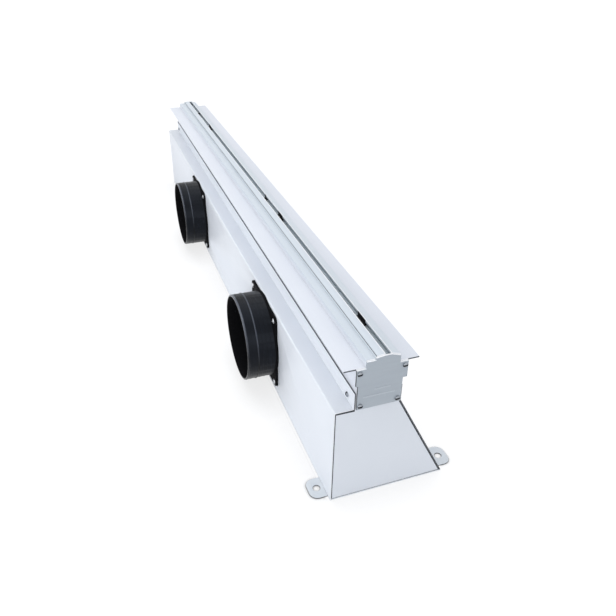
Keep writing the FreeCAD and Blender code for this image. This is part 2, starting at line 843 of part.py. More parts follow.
spigot_rivets("spigot_rivets_far", far_spigot)
doc.recompute()

# Every object must be sound before anything is written

for item in doc.Objects:
    if "Invalid" in item.State or "Error" in item.State:
        raise RuntimeError("%s failed: %s" % (item.Name, item.State))

pieces = [item for item in doc.Objects if item.TypeId in ("PartDesign::Body", "Part::Compound")]
for piece in pieces:
    if piece.Shape.isNull() or not piece.Shape.isValid() or not piece.Shape.Solids:
        raise RuntimeError("%s has no sound solid" % piece.Label)

os.makedirs("parts", exist_ok=True)
for piece in pieces:
    piece.Shape.exportStep(os.path.join("parts", piece.Label + ".step"))
    box = piece.Shape.BoundBox
    print("%-28s %2d solid %9.0f mm3  x %7.1f %7.1f  y %7.1f %7.1f  z %6.1f %6.1f" % (
        piece.Label, len(piece.Shape.Solids), piece.Shape.Volume,
        box.XMin, box.XMax, box.YMin, box.YMax, box.ZMin, box.ZMax))
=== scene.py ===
import bmesh
import bpy
import math
from mathutils import Matrix, Vector


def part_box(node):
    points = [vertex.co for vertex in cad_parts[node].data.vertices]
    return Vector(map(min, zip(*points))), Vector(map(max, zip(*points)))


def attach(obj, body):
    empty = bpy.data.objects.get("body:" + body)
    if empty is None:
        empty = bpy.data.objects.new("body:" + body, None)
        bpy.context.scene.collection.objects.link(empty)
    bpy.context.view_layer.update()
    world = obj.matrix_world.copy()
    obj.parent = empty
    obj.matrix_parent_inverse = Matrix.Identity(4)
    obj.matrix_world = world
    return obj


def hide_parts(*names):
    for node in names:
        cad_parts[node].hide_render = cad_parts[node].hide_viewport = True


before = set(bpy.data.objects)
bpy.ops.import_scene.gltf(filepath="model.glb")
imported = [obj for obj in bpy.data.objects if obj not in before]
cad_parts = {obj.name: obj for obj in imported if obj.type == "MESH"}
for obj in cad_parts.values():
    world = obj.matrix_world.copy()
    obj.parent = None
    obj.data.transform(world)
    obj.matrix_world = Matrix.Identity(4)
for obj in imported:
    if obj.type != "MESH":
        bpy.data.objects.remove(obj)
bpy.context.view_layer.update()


# ---------------------------------------------------------------- camera, light and floor
# The diffuser stands on its base plate and is seen from above its near end, a little to the
# left, with the slot running away from the camera. The studio is white with soft lamps.

def placed(name, data):
    """A new object that holds the data, linked to the scene."""
    thing = bpy.data.objects.new(name, data)
    bpy.context.collection.objects.link(thing)
    return thing


seat = Vector((-0.24774, -0.91360, 0.52044))
ahead = Vector((0.29368, 0.79700, -0.52777)).normalized()
upward = Vector((0.16673, 0.50094, 0.84927))
rightward = ahead.cross(upward).normalized()
upward = rightward.cross(ahead)
camera_data = bpy.data.cameras.new("photo_camera")
camera_data.lens = 36.16
camera_data.sensor_width = 36.0
camera_data.clip_start = 0.01
camera_data.clip_end = 20.0
camera = placed("photo_camera", camera_data)
camera.matrix_world = Matrix((
    (rightward.x, upward.x, -ahead.x, seat.x),
    (rightward.y, upward.y, -ahead.y, seat.y),
    (rightward.z, upward.z, -ahead.z, seat.z),
    (0, 0, 0, 1)))
bpy.context.scene.camera = camera
bpy.context.scene.view_settings.view_transform = "Standard"


def step(tree, kind, inputs, **settings):
    """A node with its settings, and each input linked to a socket or set to a value."""
    node = tree.nodes.new(kind)
    for setting, value in settings.items():
        setattr(node, setting, value)
    for name, given in inputs.items():
        if isinstance(given, bpy.types.NodeSocket):
            tree.links.new(given, node.inputs[name])
        else:
            node.inputs[name].default_value = given
    return node


def reckoned(tree, operation, *values):
    """What one Math node makes of its values."""
    return step(tree, "ShaderNodeMath", dict(enumerate(values)), operation=operation).outputs[0]


def mapped(tree, value, low, high, start=0.0, end=1.0):
    """A value between low and high, mapped to lie between start and end."""
    return step(tree, "ShaderNodeMapRange", {"Value": value, "From Min": low, "From Max": high,
                                             "To Min": start, "To Max": end}).outputs["Result"]


def mixed(tree, share, first, second):
    """Two shaders mixed by a share."""
    return step(tree, "ShaderNodeMixShader", {0: share, 1: first, 2: second}).outputs[0]


def white_to_the_eye(tree, lit, plain):
    """The lit shader, but the plain one for what the camera, gloss and glass see."""
    path = step(tree, "ShaderNodeLightPath", {}).outputs
    seen = reckoned(tree, "MAXIMUM", path["Is Camera Ray"], path["Is Glossy Ray"])
    clear = reckoned(tree, "MAXIMUM", seen, path["Is Transmission Ray"])
    return mixed(tree, clear, lit, plain)


world = bpy.data.worlds.new("white_studio")
bpy.context.scene.world = world
world.use_nodes = True
sky = world.node_tree
sky.nodes.clear()
soft_light = step(sky, "ShaderNodeBackground", {"Color": (0.93, 0.96, 1.0, 1), "Strength": 0.57})
white = step(sky, "ShaderNodeBackground", {"Color": (1, 1, 1, 1), "Strength": 1.0})
step(sky, "ShaderNodeOutputWorld",
     {"Surface": white_to_the_eye(sky, soft_light.outputs[0], white.outputs[0])})


def soft_lamp(name, place, towards, width, length, power):
    """A rectangular lamp that faces a point."""
    lamp_data = bpy.data.lights.new(name, "AREA")
    lamp_data.shape = "RECTANGLE"
    lamp_data.size = width
    lamp_data.size_y = length
    lamp_data.energy = power
    lamp = placed(name, lamp_data)
    lamp.location = place
    lamp.rotation_euler = (Vector(towards) - Vector(place)).to_track_quat("-Z", "Y").to_euler()


soft_lamp("lamp_above", (-0.2, 0.3, 2.2), (0, 0, 0.08), width=2.2, length=2.6, power=17.5)
soft_lamp("lamp_left", (-2.2, -0.25, 0.65), (0, 0, 0.08), width=2.0, length=1.2, power=15)
soft_lamp("lamp_front", (-0.7, -2.6, 0.9), (0, -0.4, 0.08), width=2.2, length=1.4, power=10.5)
soft_lamp("lamp_right", (2.0, -0.3, 1.1), (0, 0, 0.0), width=2.0, length=1.2, power=5)

floor_mesh = bpy.data.meshes.new("floor")
floor_mesh.from_pydata([(-6, -6, 0), (6, -6, 0), (6, 6, 0), (-6, 6, 0)], [], [(0, 1, 2, 3)])
floor = placed("floor", floor_mesh)
floor_paint = bpy.data.materials.new("floor_paper")
floor_paint.use_nodes = True
paper = floor_paint.node_tree
paper.nodes.clear()


def own_place(tree):
    """The shaded point, in the piece's own coordinates."""
    return step(tree, "ShaderNodeTexCoord", {}).outputs["Object"]


def parted(tree, point):
    """The X, Y and Z of a point."""
    return step(tree, "ShaderNodeSeparateXYZ", {"Vector": point}).outputs


def open_air(tree, reach):
    """How open a point is to the air within reach, from 0 to 1."""
    return step(tree, "ShaderNodeAmbientOcclusion", {"Distance": reach}, samples=4).outputs["AO"]


def darkened(shade, seen):
    """The seen floor, mixed towards a dark grey emission by a painted shade."""
    grey = step(paper, "ShaderNodeEmission", {"Color": (0.02, 0.022, 0.026, 1)})
    return mixed(paper, shade, seen, grey.outputs[0])


paper_place = own_place(paper)
outward = step(paper, "ShaderNodeVectorMath", {0: paper_place}, operation="LENGTH")
glow = mapped(paper, outward.outputs["Value"], low=0.8, high=2.2, start=0.88, end=1.0)
paper_white = step(paper, "ShaderNodeEmission", {"Color": (1, 1, 1, 1), "Strength": glow})
paper_shade = step(paper, "ShaderNodeBsdfDiffuse", {"Color": (0.20, 0.203, 0.211, 1)})
paper_plain = step(paper, "ShaderNodeAddShader",
                   {0: paper_white.outputs[0], 1: paper_shade.outputs[0]})
# Painted shade on the floor: occlusion darkens it softly near the object and, beside the lugs, into
# a dark contact shadow.
painted_soft_shade = mapped(paper, open_air(paper, 0.060), low=0.97, high=0.50, end=0.13)
painted_contact_shade = mapped(paper, open_air(paper, 0.004), low=0.90, high=0.66, end=0.80)
off_axis = reckoned(paper, "ABSOLUTE", parted(paper, paper_place)["X"])
by_lugs = mapped(paper, off_axis, low=0.0690, high=0.0710)
paper_seen = darkened(reckoned(paper, "MULTIPLY", painted_contact_shade, by_lugs),
                      darkened(painted_soft_shade, paper_plain.outputs[0]))
paper_lit = step(paper, "ShaderNodeBsdfDiffuse", {"Color": (0.84, 0.85, 0.87, 1)})
step(paper, "ShaderNodeOutputMaterial",
     {"Surface": white_to_the_eye(paper, paper_lit.outputs[0], paper_seen)})
floor_mesh.materials.append(floor_paint)


# ---------------------------------------------------------------- base plate
# A flat blank of 1 mm sheet steel with a holed lug near each corner, punched and then powder
# coated white. The coat is satin, with a fine orange peel, and rounds the punched edges.

def scaled(tree, colour, scale):
    """A colour times a number."""
    return step(tree, "ShaderNodeVectorMath", {0: colour, "Scale": scale},
                operation="SCALE").outputs["Vector"]


def noise(tree, point, scale, detail=2.0):
    """Soft noise from 0 to 1."""
    return step(tree, "ShaderNodeTexNoise", {"Vector": point, "Scale": scale,
                                             "Detail": detail}).outputs["Fac"]


def toned(tree, share, low, low_colour, high, high_colour):
    """A colour that goes from one to another between two levels of a share."""
    tone = step(tree, "ShaderNodeValToRGB", {"Fac": share})
    first, last = tone.color_ramp.elements
    first.position, first.color = low, (*low_colour, 1)
    last.position, last.color = high, (*high_colour, 1)
    return tone.outputs["Color"]


def uneven(tree, shader, share, colour, dark, low, high, roughness, less, more):
    """Lets a share move the shader's roughness, and gives the colour that goes with it."""
    gloss = mapped(tree, share, 0.0, 1.0, roughness - less, roughness + more)
    tree.links.new(gloss, shader.inputs["Roughness"])
    return toned(tree, share, low, [part * dim for part, dim in zip(colour, dark)], high, colour)


def bumped(tree, shader, height, strength, distance):
    """Raises the shader's surface by a height."""
    bump = step(tree, "ShaderNodeBump", {"Height": height, "Strength": strength,
                                         "Distance": distance})
    tree.links.new(bump.outputs["Normal"], shader.inputs["Normal"])


def new_material(name):
    """A material, with its tree and its shader."""
    material = bpy.data.materials.new(name)
    material.use_nodes = True
    return material, material.node_tree, material.node_tree.nodes["Principled BSDF"]


def shaded_seams(tree, colour, reach, closed, clear, deepest):
    """Painted shade: deepens a colour where a seam or a corner closes in on it, within reach."""
    return scaled(tree, colour, mapped(tree, open_air(tree, reach), closed, clear, deepest, 1.0))


def powder_coat(name, colour, peel, roughness, deepest=0.25):
    """Satin powder coat: faint cloudy colour, a fine orange peel and painted shade in seams."""
    paint, tree, shader = new_material(name)
    place = own_place(tree)
    tone = uneven(tree, shader, noise(tree, place, scale=9.0, detail=3.0), colour,
                  dark=(0.965, 0.97, 0.975), low=0.35, high=0.65, roughness=roughness,
                  less=0.05, more=0.05)
    # Painted shade: the colour darkens where a seam or a corner closes in within 4 mm.
    seams = shaded_seams(tree, tone, reach=0.004, closed=0.15, clear=0.44, deepest=deepest)
    tree.links.new(seams, shader.inputs["Base Color"])
    bumped(tree, shader, noise(tree, place, scale=900.0), strength=0.25, distance=peel)
    shader.inputs["Specular IOR Level"].default_value = 0.45
    return paint


def eased(name, node, edge, material, body="housing"):
    """A copy of a CAD node with its sharp edges rounded, which stands for the node."""
    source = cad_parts[node]
    work = bmesh.new()
    work.from_mesh(source.data)
    bmesh.ops.transform(work, matrix=source.matrix_world, verts=work.verts)
    bmesh.ops.remove_doubles(work, verts=work.verts, dist=1e-6)
    bmesh.ops.dissolve_limit(work, angle_limit=math.radians(0.4), verts=work.verts,
                             edges=work.edges)
    mesh = bpy.data.meshes.new(name)
    work.to_mesh(mesh)
    work.free()
    mesh.materials.clear()
    draft = placed(name, mesh)
    for face in mesh.polygons:
        face.use_smooth = True
        face.material_index = 0
    rounding = draft.modifiers.new("rounding", "BEVEL")
    rounding.width = edge
    rounding.segments = 2
    rounding.limit_method = "ANGLE"
    rounding.angle_limit = math.radians(40)
    rounding.use_clamp_overlap = False
    rounding.harden_normals = True
    piece = finished(draft, name, material, body, node)
    low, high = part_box(node)
    for vert in piece.data.vertices:
        vert.co = [min(max(vert.co[i], low[i]), high[i]) for i in range(3)]
    return piece


def finished(draft, name, material, body, *nodes):
    """The draft's evaluated shape as a plain mesh that rides on its body."""
    graph = bpy.context.evaluated_depsgraph_get()
    mesh = bpy.data.meshes.new_from_object(draft.evaluated_get(graph))
    bpy.data.objects.remove(draft)
    mesh.name = name
    mesh.materials.clear()
    mesh.materials.append(material)
    piece = placed(name, mesh)
    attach(piece, body)
    for node in nodes:
        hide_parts(node)
    return piece


def second_coat(piece, material, chosen):
    """Gives the faces that are chosen, by centre and normal, a material of their own."""
    piece.data.materials.append(material)
    for face in piece.data.polygons:
        if chosen(face.center, face.normal):
            face.material_index = len(piece.data.materials) - 1


sheet_coat = powder_coat("white_sheet_coat", (0.82, 0.85, 0.90), peel=0.00002, roughness=0.42)
# Edge coats for where light and shade fall: a near-white painted highlight, and a near-black and a
# dark grey painted shade.
painted_highlight_coat = powder_coat("bright_cut_edge", (0.97, 0.98, 1.0), peel=0.00002, roughness=0.42,
                          deepest=1.0)
dark_shade_coat = powder_coat("dark_cut_edge", (0.035, 0.040, 0.048), peel=0.00003, roughness=0.6)
grey_shade_coat = powder_coat("grey_cut_edge", (0.11, 0.12, 0.14), peel=0.00003, roughness=0.6)
base_coat = powder_coat("base_plate_coat", (0.71, 0.75, 0.79), peel=0.00002, roughness=0.45)
base = eased("base_plate_blank", "base_plate", 0.00010, base_coat)
lug_root, plate_side, plate_end = 0.0675, 0.0665, 0.4990
# Painted shade on the lugs' side faces and hole walls.
second_coat(base, dark_shade_coat, lambda at, out: abs(out.z) < 0.6 and abs(at.x) > lug_root)
# Painted highlight along the plate's near and far edges.
second_coat(base, painted_highlight_coat, lambda at, out: abs(at.x) < plate_side and abs(at.y) > plate_end)


# ---------------------------------------------------------------- side sheets
# Two folded sheets of 1 mm steel form the plenum's straight and sloping walls, the shoulder and
# the neck. Their cut ends show as thin lines: a painted highlight up to the shoulder and painted
# shade above it, and painted shade all along the sloping sheet's end and top rim.

def split_at(piece, level):
    """Cuts the faces that cross a level in two, so that each side can have its own coat."""
    work = bmesh.new()
    work.from_mesh(piece.data)
    bmesh.ops.bisect_plane(work, geom=[*work.verts, *work.edges, *work.faces], dist=1e-6,
                           plane_co=(0, 0, level), plane_no=(0, 0, 1))
    work.to_mesh(piece.data)
    work.free()


neck_foot, neck_rim = 0.1216, 0.138
square_on = 0.7
straight_side = eased("straight_side_folded", "straight_side_sheet", 0.00015, sheet_coat)
split_at(straight_side, neck_foot)
# Painted highlight on the cut ends below the shoulder; painted shade on those above it and on the
# neck's top rim.
second_coat(straight_side, painted_highlight_coat,
            lambda at, out: abs(out.y) > square_on and at.z < neck_foot)
second_coat(straight_side, grey_shade_coat, lambda at, out: at.z > neck_foot and (
    abs(out.y) > square_on or out.z > square_on and at.z > neck_rim))
sloping_side = eased("sloping_side_folded", "sloping_side_sheet", 0.00015, sheet_coat)
# Painted shade on the sloping sheet's cut ends and on the neck's top rim.
second_coat(sloping_side, dark_shade_coat,
            lambda at, out: abs(out.y) > square_on or out.z > square_on and at.z > neck_rim)


# ---------------------------------------------------------------- end plates
# Shallow folded trays set just inside the ends of the side sheets, so that their rounded folds
# leave a fine groove all round. They carry the same coat as the side sheets, with painted shade
# on the folds' edges at the sides and top and a painted highlight on those facing down.

fold_line = 0.4970
for end in ("near", "far"):
    end_plate = eased("end_tray_" + end, "end_plate_" + end, 0.00012, sheet_coat)
    # Painted shade in the groove at the sides and top; a painted highlight on the downward edge.
    second_coat(end_plate, dark_shade_coat,
                lambda at, out: abs(at.y) > fold_line and max(abs(out.x), out.z) > 0.35)
    second_coat(end_plate, painted_highlight_coat, lambda at, out: abs(at.y) > fold_line and out.z < -0.2)


# ---------------------------------------------------------------- slot profiles
# Two aluminium extrusions, powder coated white, hold the plasterboard flanges, the tread and the
# lips of the slot. Their sections have small rounded corners from the die.

def shape_tree(name, result, **inputs):
    """A Geometry Nodes tree with named inputs and one result, and its inputs' sockets."""
    tree = bpy.data.node_groups.new(name, "GeometryNodeTree")
    for title, kind in inputs.items():
        tree.interface.new_socket(title, in_out="INPUT", socket_type="NodeSocket" + kind)
    tree.interface.new_socket(result, in_out="OUTPUT", socket_type="NodeSocketGeometry")
    return tree, step(tree, "NodeGroupInput", {}).outputs


def made_real(tree, shape, material, result):
    """Ends a tree: makes its instances real and gives them their material."""
    real = step(tree, "GeometryNodeRealizeInstances", {"Geometry": shape})
    dressed = step(tree, "GeometryNodeSetMaterial",
                   {"Geometry": real.outputs["Geometry"], "Material": material})
    step(tree, "NodeGroupOutput", {result: dressed.outputs["Geometry"]})
    return tree


def sweep_tree():
    """Geometry Nodes: sweeps closed outlines along the slot, with die-rounded corners."""
    tree, given = shape_tree("sweep_section", "Swept", Outline="Geometry", Start="Vector",
                             End="Vector", Corner="Float", Coat="Material")
    outline = step(tree, "GeometryNodeMeshToCurve", {"Mesh": given["Outline"]})
    rounded = step(tree, "GeometryNodeFilletCurve",
                   {"Curve": outline.outputs["Curve"], "Radius": given["Corner"], "Count": 2,
                    "Limit Radius": True}, mode="POLY")
    line = step(tree, "GeometryNodeCurvePrimitiveLine",
                {"Start": given["Start"], "End": given["End"]})
    swept = step(tree, "GeometryNodeCurveToMesh",
                 {"Curve": line.outputs["Curve"], "Profile Curve": rounded.outputs["Curve"],
                  "Fill Caps": True})
    return made_real(tree, swept.outputs["Mesh"], given["Coat"], "Swept")


def give(modifier, tree, values):
    """Sets the named inputs of a Geometry Nodes modifier by their identifiers."""
    for item in tree.interface.items_tree:
        if item.in_out == "INPUT" and item.name in values:
            modifier[item.identifier] = values[item.name]


section_sweep = sweep_tree()
half_length = 0.5


def swept_piece(name, loops, coat, node):
    """Sweeps loops of (x, z) millimetres over the whole length of the slot."""
    points, edges = [], []
    for loop in loops:
        first = len(points)
        points += [(x * 0.001, z * 0.001, 0) for x, z in loop]
        edges += [(first + i, first + (i + 1) % len(loop)) for i in range(len(loop))]
    mesh = bpy.data.meshes.new(name)
    mesh.from_pydata(points, edges, [])
    draft = placed(name, mesh)
    sweep = draft.modifiers.new("sweep", "NODES")
    sweep.node_group = section_sweep
    give(sweep, section_sweep, {"Start": (0, 0, -half_length), "End": (0, 0, half_length),
                                "Corner": 0.00035, "Coat": coat})
    piece = finished(draft, name, coat, "housing", node)
    work = bmesh.new()
    work.from_mesh(piece.data)
    for vert in work.verts:
        vert.co = Vector((vert.co.x, vert.co.z, vert.co.y))
    bmesh.ops.remove_doubles(work, verts=work.verts, dist=1e-6)
    bmesh.ops.recalc_face_normals(work, faces=work.faces)
    work.to_mesh(piece.data)
    work.free()
    for face in piece.data.polygons:
        face.use_smooth = True
    piece.data.set_sharp_from_angle(angle=math.radians(32))
    return piece


def screw_port(x, z, opens):
    """The open round channel that takes a cap screw, open towards one side."""
    half_gap, steps = 0.9, 14
    loop = []
    for radius, order in ((3.3, range(steps + 1)), (1.6, range(steps, -1, -1))):
        gap = math.asin(half_gap / radius)
        for i in order:
            turn = gap + (2 * math.pi - 2 * gap) * i / steps
            loop.append((x + opens * radius * math.cos(turn), z + radius * math.sin(turn)))
    return loop


def toned_nose(paint, start, end, tone):
    """Painted shade in corners; a little darker above the board flanges, on the tread and lips."""
    tree = paint.node_tree
    colour = tree.nodes["Principled BSDF"].inputs["Base Color"]
    # Painted shade: a wider darkening where the profile closes in within 20 mm.
    plain = shaded_seams(tree, colour.links[0].from_socket, reach=0.020, closed=0.4, clear=1.0,
                         deepest=0.76)
    level = mapped(tree, parted(tree, own_place(tree))["Z"], start, end)
    height = toned(tree, level, 0.0, (1, 1, 1), 1.0, tone)
    deeper = step(tree, "ShaderNodeVectorMath", {0: plain, 1: height}, operation="MULTIPLY")
    tree.links.new(deeper.outputs["Vector"], colour)


def blended(tree, share, first, second):
    """Two colours mixed by a share."""
    return step(tree, "ShaderNodeMix", {"Factor": share, 6: first, 7: second},
                data_type="RGBA").outputs[2]


def cut_ends(paint, cap_left, cap_right):
    """A painted highlight on the sawn ends above the caps and painted shade on the flanges' ends.
    """
    tree = paint.node_tree
    colour = tree.nodes["Principled BSDF"].inputs["Base Color"]
    parts = parted(tree, own_place(tree))
    at_end = mapped(tree, reckoned(tree, "ABSOLUTE", parts["Y"]), half_length - 0.00015,
                    half_length - 0.00005)
    left = mapped(tree, parts["X"], cap_left - 0.0001, cap_left, 1.0, 0.0)
    right = mapped(tree, parts["X"], cap_right, cap_right + 0.0001)
    outside = reckoned(tree, "MULTIPLY", at_end, reckoned(tree, "MAXIMUM", left, right))
    # Painted highlight on the sawn ends, then painted shade on the ends outside the caps.
    light = blended(tree, at_end, colour.links[0].from_socket, (0.97, 0.98, 1.0, 1))
    tree.links.new(blended(tree, outside, light, (0.10, 0.11, 0.13, 1)), colour)


profile_coat = powder_coat("white_profile_coat", (0.83, 0.86, 0.93), peel=0.000015,
                           roughness=0.38)
toned_nose(profile_coat, start=0.1712, end=0.1765, tone=(0.84, 0.88, 0.88))
cut_ends(profile_coat, cap_left=-0.0466, cap_right=0.0072)
# Painted light: a lighter copy of the profile coat, without seam shade, for the chamber walls deep
# in the slot.
lightened_chamber_coat = powder_coat("slot_chamber_coat", (0.90, 0.94, 1.0), peel=0.00002, roughness=0.5,
                           deepest=1.0)
chamber_top, lip_crest = 0.1784, 0.181
left_section = [
    (-59.5, 168.5), (-46.6, 168.5), (-46.6, 149.8), (-44.9, 149.8), (-44.9, 121.6), (-43.4, 121.6),
    (-43.4, 151.3), (-45.1, 151.3), (-45.1, 168.5), (-35.4, 168.5), (-35.4, 176.3), (-27.5, 176.3),
    (-27.5, 152.0), (-26.0, 152.0), (-26.0, 158.5), (-24.5, 158.5), (-24.5, 160.0), (-26.0, 160.0),
    (-26.0, 178.99), (-18.55, 179.95), (-18.55, 178.2), (-17.35, 178.2), (-17.35, 181.6),
    (-18.45, 181.459), (-26.1, 180.48), (-26.1, 179.5), (-26.8, 179.5), (-26.8, 180.39),
    (-27.5, 180.3), (-27.5, 177.8), (-36.9, 177.8), (-36.9, 170.0), (-59.5, 170.0)]
left_profile = swept_piece(
    "slot_extrusion_left", [left_section, screw_port(-43.3, 164.6, 1), screw_port(-40.9, 125.1, 1)],
    profile_coat, "slot_profile_left")
# Painted light on the left profile's chamber walls.
second_coat(left_profile, lightened_chamber_coat,
            lambda at, out: -0.0262 < at.x < -0.0170 and at.z < chamber_top)
# Painted shade on the floor of the small groove at the lip's foot.
second_coat(left_profile, grey_shade_coat,
            lambda at, out: out.z > square_on and at.x < -0.0260 and 0.1790 < at.z < 0.1798)
# Painted highlight on the top faces of the left lip's crest.
second_coat(left_profile, painted_highlight_coat,
            lambda at, out: out.z > square_on and at.x > -0.0185 and at.z > lip_crest)
right_section = [
    (19.4, 170.0), (-1.7, 170.0), (-1.7, 178.0), (-10.75, 181.21), (-11.85, 181.6),
    (-11.85, 178.2), (-10.65, 178.2), (-10.65, 179.67), (-3.2, 177.03), (-3.2, 160.0),
    (-4.7, 160.0), (-4.7, 158.5), (-3.2, 158.5), (-3.2, 152.0), (-1.7, 152.0), (-1.7, 168.5),
    (5.7, 168.5), (5.7, 151.3), (1.7, 151.3), (1.7, 121.6), (3.2, 121.6), (3.2, 149.8),
    (7.2, 149.8), (7.2, 168.5), (19.4, 168.5)]
right_profile = swept_piece(
    "slot_extrusion_right",
    [right_section, screw_port(3.9, 164.6, -1), screw_port(-0.8, 125.1, -1)],
    profile_coat, "slot_profile_right")
# Painted light on the right profile's chamber walls.
second_coat(right_profile, lightened_chamber_coat,
            lambda at, out: -0.0120 < at.x < -0.0030 and at.z < chamber_top)
# Painted highlight on the top faces of the right lip's crest.
second_coat(right_profile, painted_highlight_coat,
            lambda at, out: out.z > square_on and at.x < -0.0107 and at.z > lip_crest)


# ---------------------------------------------------------------- end caps
# Stepped plates of mill-finish aluminium, screwed to the ends of both profiles. Each has a low
# pressed crease across its lower part and a shorter one above it. The creases take a lighter copy
# of the metal as a painted highlight, and each cap has painted shade on its left side and a
# painted highlight along its top.

def mill_aluminium(name, colour, roughness, along, metallic=0.35):
    """Bare rolled aluminium: faint streaks along the rolling direction."""
    metal, tree, shader = new_material(name)
    shader.inputs["Metallic"].default_value = metallic
    rolled = step(tree, "ShaderNodeMapping", {"Vector": own_place(tree), "Scale": along})
    streaks = noise(tree, rolled.outputs["Vector"], scale=60.0, detail=4.0)
    tone = uneven(tree, shader, streaks, colour, dark=(0.93, 0.93, 0.94), low=0.3, high=0.7,
                  roughness=roughness, less=0.06, more=0.08)
    tree.links.new(tone, shader.inputs["Base Color"])
    bumped(tree, shader, streaks, strength=0.15, distance=0.00002)
    return metal


def built(work, name, material):
    """The work mesh as a piece that rides on the housing."""
    mesh = bpy.data.meshes.new(name)
    work.to_mesh(mesh)
    work.free()
    mesh.materials.append(material)
    piece = placed(name, mesh)
    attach(piece, "housing")
    return piece


cap_metal = mill_aluminium("end_cap_metal", (0.43, 0.475, 0.52), roughness=0.42,
                           along=(0.2, 1, 3))
# Painted highlight: a lighter copy of the cap metal for the creases.
crease_metal = mill_aluminium("crease_metal", (0.50, 0.545, 0.59), roughness=0.40,
                              along=(0.2, 1, 3))
ends = (("near", -1), ("far", 1))
cap_face, crease_half, crease_rise, crease_inset = 0.502, 0.0008, 0.00045, 0.0008
for end, side in ends:
    cap = eased("end_cap_plate_" + end, "end_cap_" + end, 0.0002, cap_metal)
    # Painted shade on the cap's left side faces and a painted highlight on its top faces.
    second_coat(cap, dark_shade_coat, lambda at, out: out.x < -0.7 and at.z < 0.168)
    second_coat(cap, painted_highlight_coat, lambda at, out: out.z > 0.5 and at.z > 0.165)
    crease = bmesh.new()
    for low_x, high_x, level in ((-0.0385, -0.0045, 0.1352), (-0.0270, -0.0098, 0.1427)):
        rows = []
        for share, lift, inset in ((-1, 0, 0), (-0.4, crease_rise, crease_inset),
                                   (0.4, crease_rise, crease_inset), (1, 0, 0)):
            y, z = side * (cap_face + lift), level + share * crease_half
            rows.append([crease.verts.new((x, y, z)) for x in (low_x + inset, high_x - inset)])
        for lower, upper in zip(rows, rows[1:]):
            crease.faces.new((lower[0], lower[1], upper[1], upper[0]))
        crease.faces.new([row[0] for row in rows])
        crease.faces.new([row[1] for row in reversed(rows)])
        crease.faces.new((rows[0][0], rows[3][0], rows[3][1], rows[0][1]))
    bmesh.ops.recalc_face_normals(crease, faces=crease.faces)
    crease_piece = built(crease, "end_cap_crease_" + end, crease_metal)


# ---------------------------------------------------------------- vane holders and bearings
# Black mouldings that slide in between the profiles and carry the vanes' rods. At all but the
# far bearing thin black sheets lap the lips' nibs as painted shade, standing for the holders'
# dark reflection on the nib walls, so that each shows as a black bit across the slot.

def black_plastic(name, colour, roughness, grain, specular=0.5):
    """Moulded black plastic with a fine grain and slightly uneven gloss."""
    plastic, tree, shader = new_material(name)
    place = own_place(tree)
    tone = uneven(tree, shader, noise(tree, place, scale=25.0, detail=3.0), colour,
                  dark=(0.75, 0.75, 0.8), low=0.3, high=0.7, roughness=roughness,
                  less=0.05, more=0.06)
    tree.links.new(tone, shader.inputs["Base Color"])
    bumped(tree, shader, noise(tree, place, scale=1400.0), strength=0.3, distance=grain)
    shader.inputs["Specular IOR Level"].default_value = specular
    return plastic


holder_plastic = black_plastic("holder_plastic", (0.012, 0.013, 0.016), roughness=0.5,
                               grain=0.00001)
for support in ("vane_holder_1", "vane_holder_2", "vane_holder_3", "vane_bearing_1",
                "vane_bearing_2"):
    moulding = eased(support + "_moulding", support, 0.0002, holder_plastic)

# Painted shade: thin black sheets on the nib walls beside each holder, for the holders' dark
# reflection.
nib_shade_sheets = bmesh.new()
shade_sheet_top, shade_sheet_thick = 0.1814, 0.00016
for support, tail in (("vane_holder_1", 0.003), ("vane_holder_2", 0.003),
                      ("vane_holder_3", 0.003), ("vane_bearing_1", 0.0)):
    low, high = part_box(support)
    for nib_x in (-0.01727, -0.01193):
        bmesh.ops.create_cube(nib_shade_sheets, size=1.0, matrix=(
            Matrix.Translation((nib_x, (low[1] - tail + high[1]) / 2, (shade_sheet_top + high[2]) / 2))
            @ Matrix.Diagonal((shade_sheet_thick, high[1] - low[1] + tail, shade_sheet_top - high[2], 1))))
nib_shade_piece = built(nib_shade_sheets, "vane_holder_clips", holder_plastic)


# ---------------------------------------------------------------- vanes
# Two thin grey blades that turn on a rod along their middle, one each side of the short bearing.
# They are rolled aluminium, dulled in the shade of the slot; their near-white colour is painted
# light against that shade.

# Painted light: a near-white colour that lifts the blades in the shade of the slot.
vane_metal = mill_aluminium("vane_metal", (0.86, 0.95, 1.0), roughness=0.5, along=(1, 0.05, 1),
                            metallic=0.1)
for end in ("near", "far"):
    blade = eased("vane_blade_" + end, "vane_" + end, 0.0002, vane_metal, "vane_" + end)


# ---------------------------------------------------------------- duct spigots
# Black moulded spigots: a round flange with four riveted ears on the straight side, and a round
# tube that a flexible duct is pushed over, with a beaded rim and low moulded rings. The beads take
# lighter copies of the plastic as painted highlights, which sink to dark towards the bottom as
# painted shade, and the bore and the flange take a darker copy.

def lit_from_above(plastic, low, high, share):
    """Painted light: the colour sinks to a share of itself from a higher to a lower level."""
    tree = plastic.node_tree
    colour = tree.nodes["Principled BSDF"].inputs["Base Color"]
    level = mapped(tree, parted(tree, own_place(tree))["Z"], low, high, share, 1.0)
    tree.links.new(scaled(tree, colour.links[0].from_socket, level), colour)


spigot_plastic = black_plastic("spigot_plastic", (0.0035, 0.004, 0.006), roughness=0.32,
                               grain=0.000008, specular=0.17)
spigot_gloss = spigot_plastic.node_tree.nodes["Principled BSDF"]
spigot_gloss.inputs["Specular Tint"].default_value = (0.74, 0.84, 1, 1)
